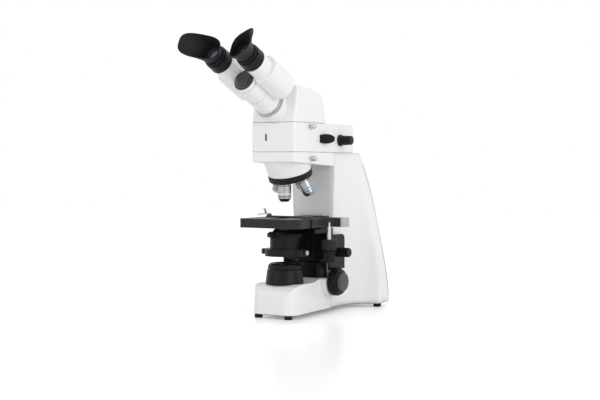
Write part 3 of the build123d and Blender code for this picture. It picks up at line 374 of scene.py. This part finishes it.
def dress():
    """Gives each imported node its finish: its own if it has one, or else that of its slot."""
    finishes = {
        "paint_white": satin_paint("paint_white", WHITE, 0.0016),
        "column_casting": satin_paint("column_paint", WHITE, 0.014),
        "paint_grey": satin_paint("paint_grey", (0.74, 0.755, 0.77), 0.001, 0.42),
        "plate_dark": moulded("plate_dark", (0.05, 0.05, 0.052), 0.5),
        "rubber_foot": soft_rubber("rubber_foot"),
        "plastic_black": moulded("plastic_black", BLACK, 0.34, edge=0.0009),
        "trim_grey": moulded("trim_grey", (0.20, 0.20, 0.205), 0.42),
        "paint_black": moulded("paint_black", BLACK, 0.36, grain=900.0, depth=0.00002, edge=0.0008),
        "glass_lens": coated_glass("glass_lens"),
        "rail_black": moulded("rail_black", (0.02, 0.02, 0.02), 0.3, grain=500.0),
        "gloss_black": scale_face("scale_face"),
        "steel": turned_metal("steel", (0.66, 0.64, 0.61), 0.22),
        "knob_black": moulded("knob_black", BLACK, 0.42, edge=0.0005),
        "knob_grey": moulded("knob_grey", (0.075, 0.075, 0.078), 0.42, edge=0.0005),
        "stage_black": moulded("stage_black", (0.022, 0.022, 0.023), 0.38, grain=1000.0, edge=0.0008),
        "cap_grey": moulded("cap_grey", (0.42, 0.43, 0.44), 0.45),
        "holder_black": moulded("holder_black", (0.06, 0.06, 0.06), 0.35),
        "knurl_black": ribbed("nosepiece_grip", NOSE, NOSE_GRIP, BLACK, 0.4),
        "y_drive": bare_above("stage_drive", STAGE_SHAFT_BARE, BLACK, 0.42),
        "eyepiece_black": moulded("eyepiece_black", BLACK, 0.32),
        "rubber_cup": soft_rubber("rubber_cup"),
    }
    for name, turn, length, shade in OBJECTIVES:
        lean = NOSE @ Matrix.Rotation(math.radians(turn), 4, "Z") @ Matrix.Rotation(NOSE_TILT, 4, "X")
        finishes["objective_" + name] = objective_barrel("objective_" + name, lean, length * MM, shade)
    for name, side in (("left", -1), ("right", 1)):
        ring = ribbed("focus_grip_" + name, eye_tube(side), FOCUS_GRIP, BLACK, 0.4)
        finishes["diopter_ring_" + name] = ring
    for part in frame["record"]["subparts"]:
        material = finishes.get(part["node"]) or finishes[part["material_slot"]]
        for place in nodes[part["node"]].material_slots:
            place.material = material
    return finishes


# Eyecups

def grid_piece(name, points, closed_round=True):
    """Mesh of quads over a grid of points, rows by columns, its columns closed to a ring."""
    rows, columns = points.shape[:2]
    index = np.arange(rows * columns).reshape(rows, columns)
    right = np.roll(index, -1, axis=1) if closed_round else index[:, 1:]
    left = index if closed_round else index[:, :-1]
    faces = np.stack([left[:-1], right[:-1], right[1:], left[1:]], axis=-1).reshape(-1, 4)
    mesh = bpy.data.meshes.new(name)
    mesh.from_pydata(points.reshape(-1, 3).tolist(), [], faces.tolist())
    mesh.update()
    piece = bpy.data.objects.new(name, mesh)
    bpy.context.collection.objects.link(piece)
    mesh.polygons.foreach_set("use_smooth", np.ones(len(mesh.polygons), dtype=bool))
    return piece


def carry(points, matrix):
    """Points moved by a 4 by 4 matrix."""
    m = np.array(matrix)
    return points @ m[:3, :3].T + m[:3, 3]


def squared(wave):
    """Sine or cosine raised to a power below 1 with its sign kept, which squares a round outline."""
    return np.sign(wave) * np.abs(wave) ** MOUTH_SQUARE


def winged_cup(side, name):
    """Eyecup: each row is a ring between the neck circle and a mouth with squared corners, whose rim
    climbs to a wing on the outer side. The ring grows from neck to mouth with a power of the height
    above 1, so the wall flares."""
    turn = np.linspace(0, 2 * np.pi, CUP_COLUMNS, endpoint=False)[None, :]
    rise = np.linspace(0, 1, CUP_ROWS)[:, None]
    across = squared(np.cos(turn))
    mouth_x = MOUTH_MIDDLE[0] + MOUTH_HALF[0] * across
    mouth_y = MOUTH_MIDDLE[1] + MOUTH_HALF[1] * squared(np.sin(turn))
    mouth_level = MOUTH_LEVEL + WING_RISE * ((1 + across) / 2) ** WING_POWER
    flare = rise ** FLARE_POWER
    x = (1 - flare) * NECK_R * np.cos(turn) + flare * mouth_x
    y = (1 - flare) * NECK_R * np.sin(turn) + flare * mouth_y
    level = NECK_LEVEL + rise * (mouth_level - NECK_LEVEL)
    points = np.stack([side * x, y, level], axis=-1) * MM
    if side < 0:
        points = points[:, ::-1]
    cup = grid_piece(name, carry(points, eye_tube(side)))
    wall = cup.modifiers.new("wall", "SOLIDIFY")
    wall.thickness = CUP_WALL * MM
    wall.offset = -1.0
    soft = cup.modifiers.new("soft", "SUBSURF")
    soft.levels = soft.render_levels = 1
    return cup


# Light and floor

def lamp(name, place, target, side, power):
    """Square soft lamp turned towards a point."""
    data = bpy.data.lights.new(name, "AREA")
    data.shape = "RECTANGLE"
    data.size = data.size_y = side
    data.energy = power
    made = bpy.data.objects.new(name, data)
    bpy.context.collection.objects.link(made)
    made.location = place
    aim = Vector(target) - Vector(place)
    made.rotation_euler = aim.to_track_quat("-Z", "Y").to_euler()


def pale_world():
    """Even white world, a little weaker as a light than the camera and reflections see it."""
    world = bpy.data.worlds.new("studio")
    bpy.context.scene.world = world
    world.use_nodes = True
    tree = world.node_tree
    tree.nodes.clear()
    ray = tree.nodes.new("ShaderNodeLightPath")
    seen = tree.nodes.new("ShaderNodeMath")
    seen.operation = "MAXIMUM"
    tree.links.new(ray.outputs["Is Camera Ray"], seen.inputs[0])
    tree.links.new(ray.outputs["Is Glossy Ray"], seen.inputs[1])
    strength = tree.nodes.new("ShaderNodeMapRange")
    tree.links.new(seen.outputs[0], strength.inputs[0])
    strength.inputs[3].default_value = WORLD_LIGHT
    strength.inputs[4].default_value = WORLD_SEEN
    back = tree.nodes.new("ShaderNodeBackground")
    back.inputs["Color"].default_value = rgb(1, 1, 1)
    tree.links.new(strength.outputs[0], back.inputs["Strength"])
    out = tree.nodes.new("ShaderNodeOutputWorld")
    tree.links.new(back.outputs[0], out.inputs["Surface"])


def shiny_floor():
    """Flat white floor, a grid of squares at the level of the table."""
    reach = np.linspace(-FLOOR_HALF, FLOOR_HALF, 9)
    x, y = np.meshgrid(reach, reach)
    floor = grid_piece("floor", np.stack([x, y, 0 * x], axis=-1), closed_round=False)
    f = Finish("floor")
    shade = f.mix(f.noise(2.0), rgb(0.94, 0.94, 0.94), rgb(0.95, 0.95, 0.95))
    seen = f.node("ShaderNodeLightPath", {}, {}, "Is Camera Ray")
    glow = f.mix(seen, rgb(0, 0, 0), rgb(FLOOR_GLOW, FLOOR_GLOW, FLOOR_GLOW))
    material = f.surface(Base_Color=shade, Roughness=0.24, Specular_IOR_Level=0.3, Emission_Color=glow,
                         Emission_Strength=1.0)
    floor.data.materials.append(material)


aim_camera()
pale_world()
for settings in LAMPS:
    lamp(*settings)
shiny_floor()
finishes = dress()
for label, side in (("left", -1), ("right", 1)):
    cup = winged_cup(side, "winged_cup_" + label)
    cup.data.materials.append(finishes["rubber_cup"])
    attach(cup, label + "_cup")
    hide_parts("eyecup_" + label)

view = bpy.context.scene.view_settings
view.view_transform = "Standard"
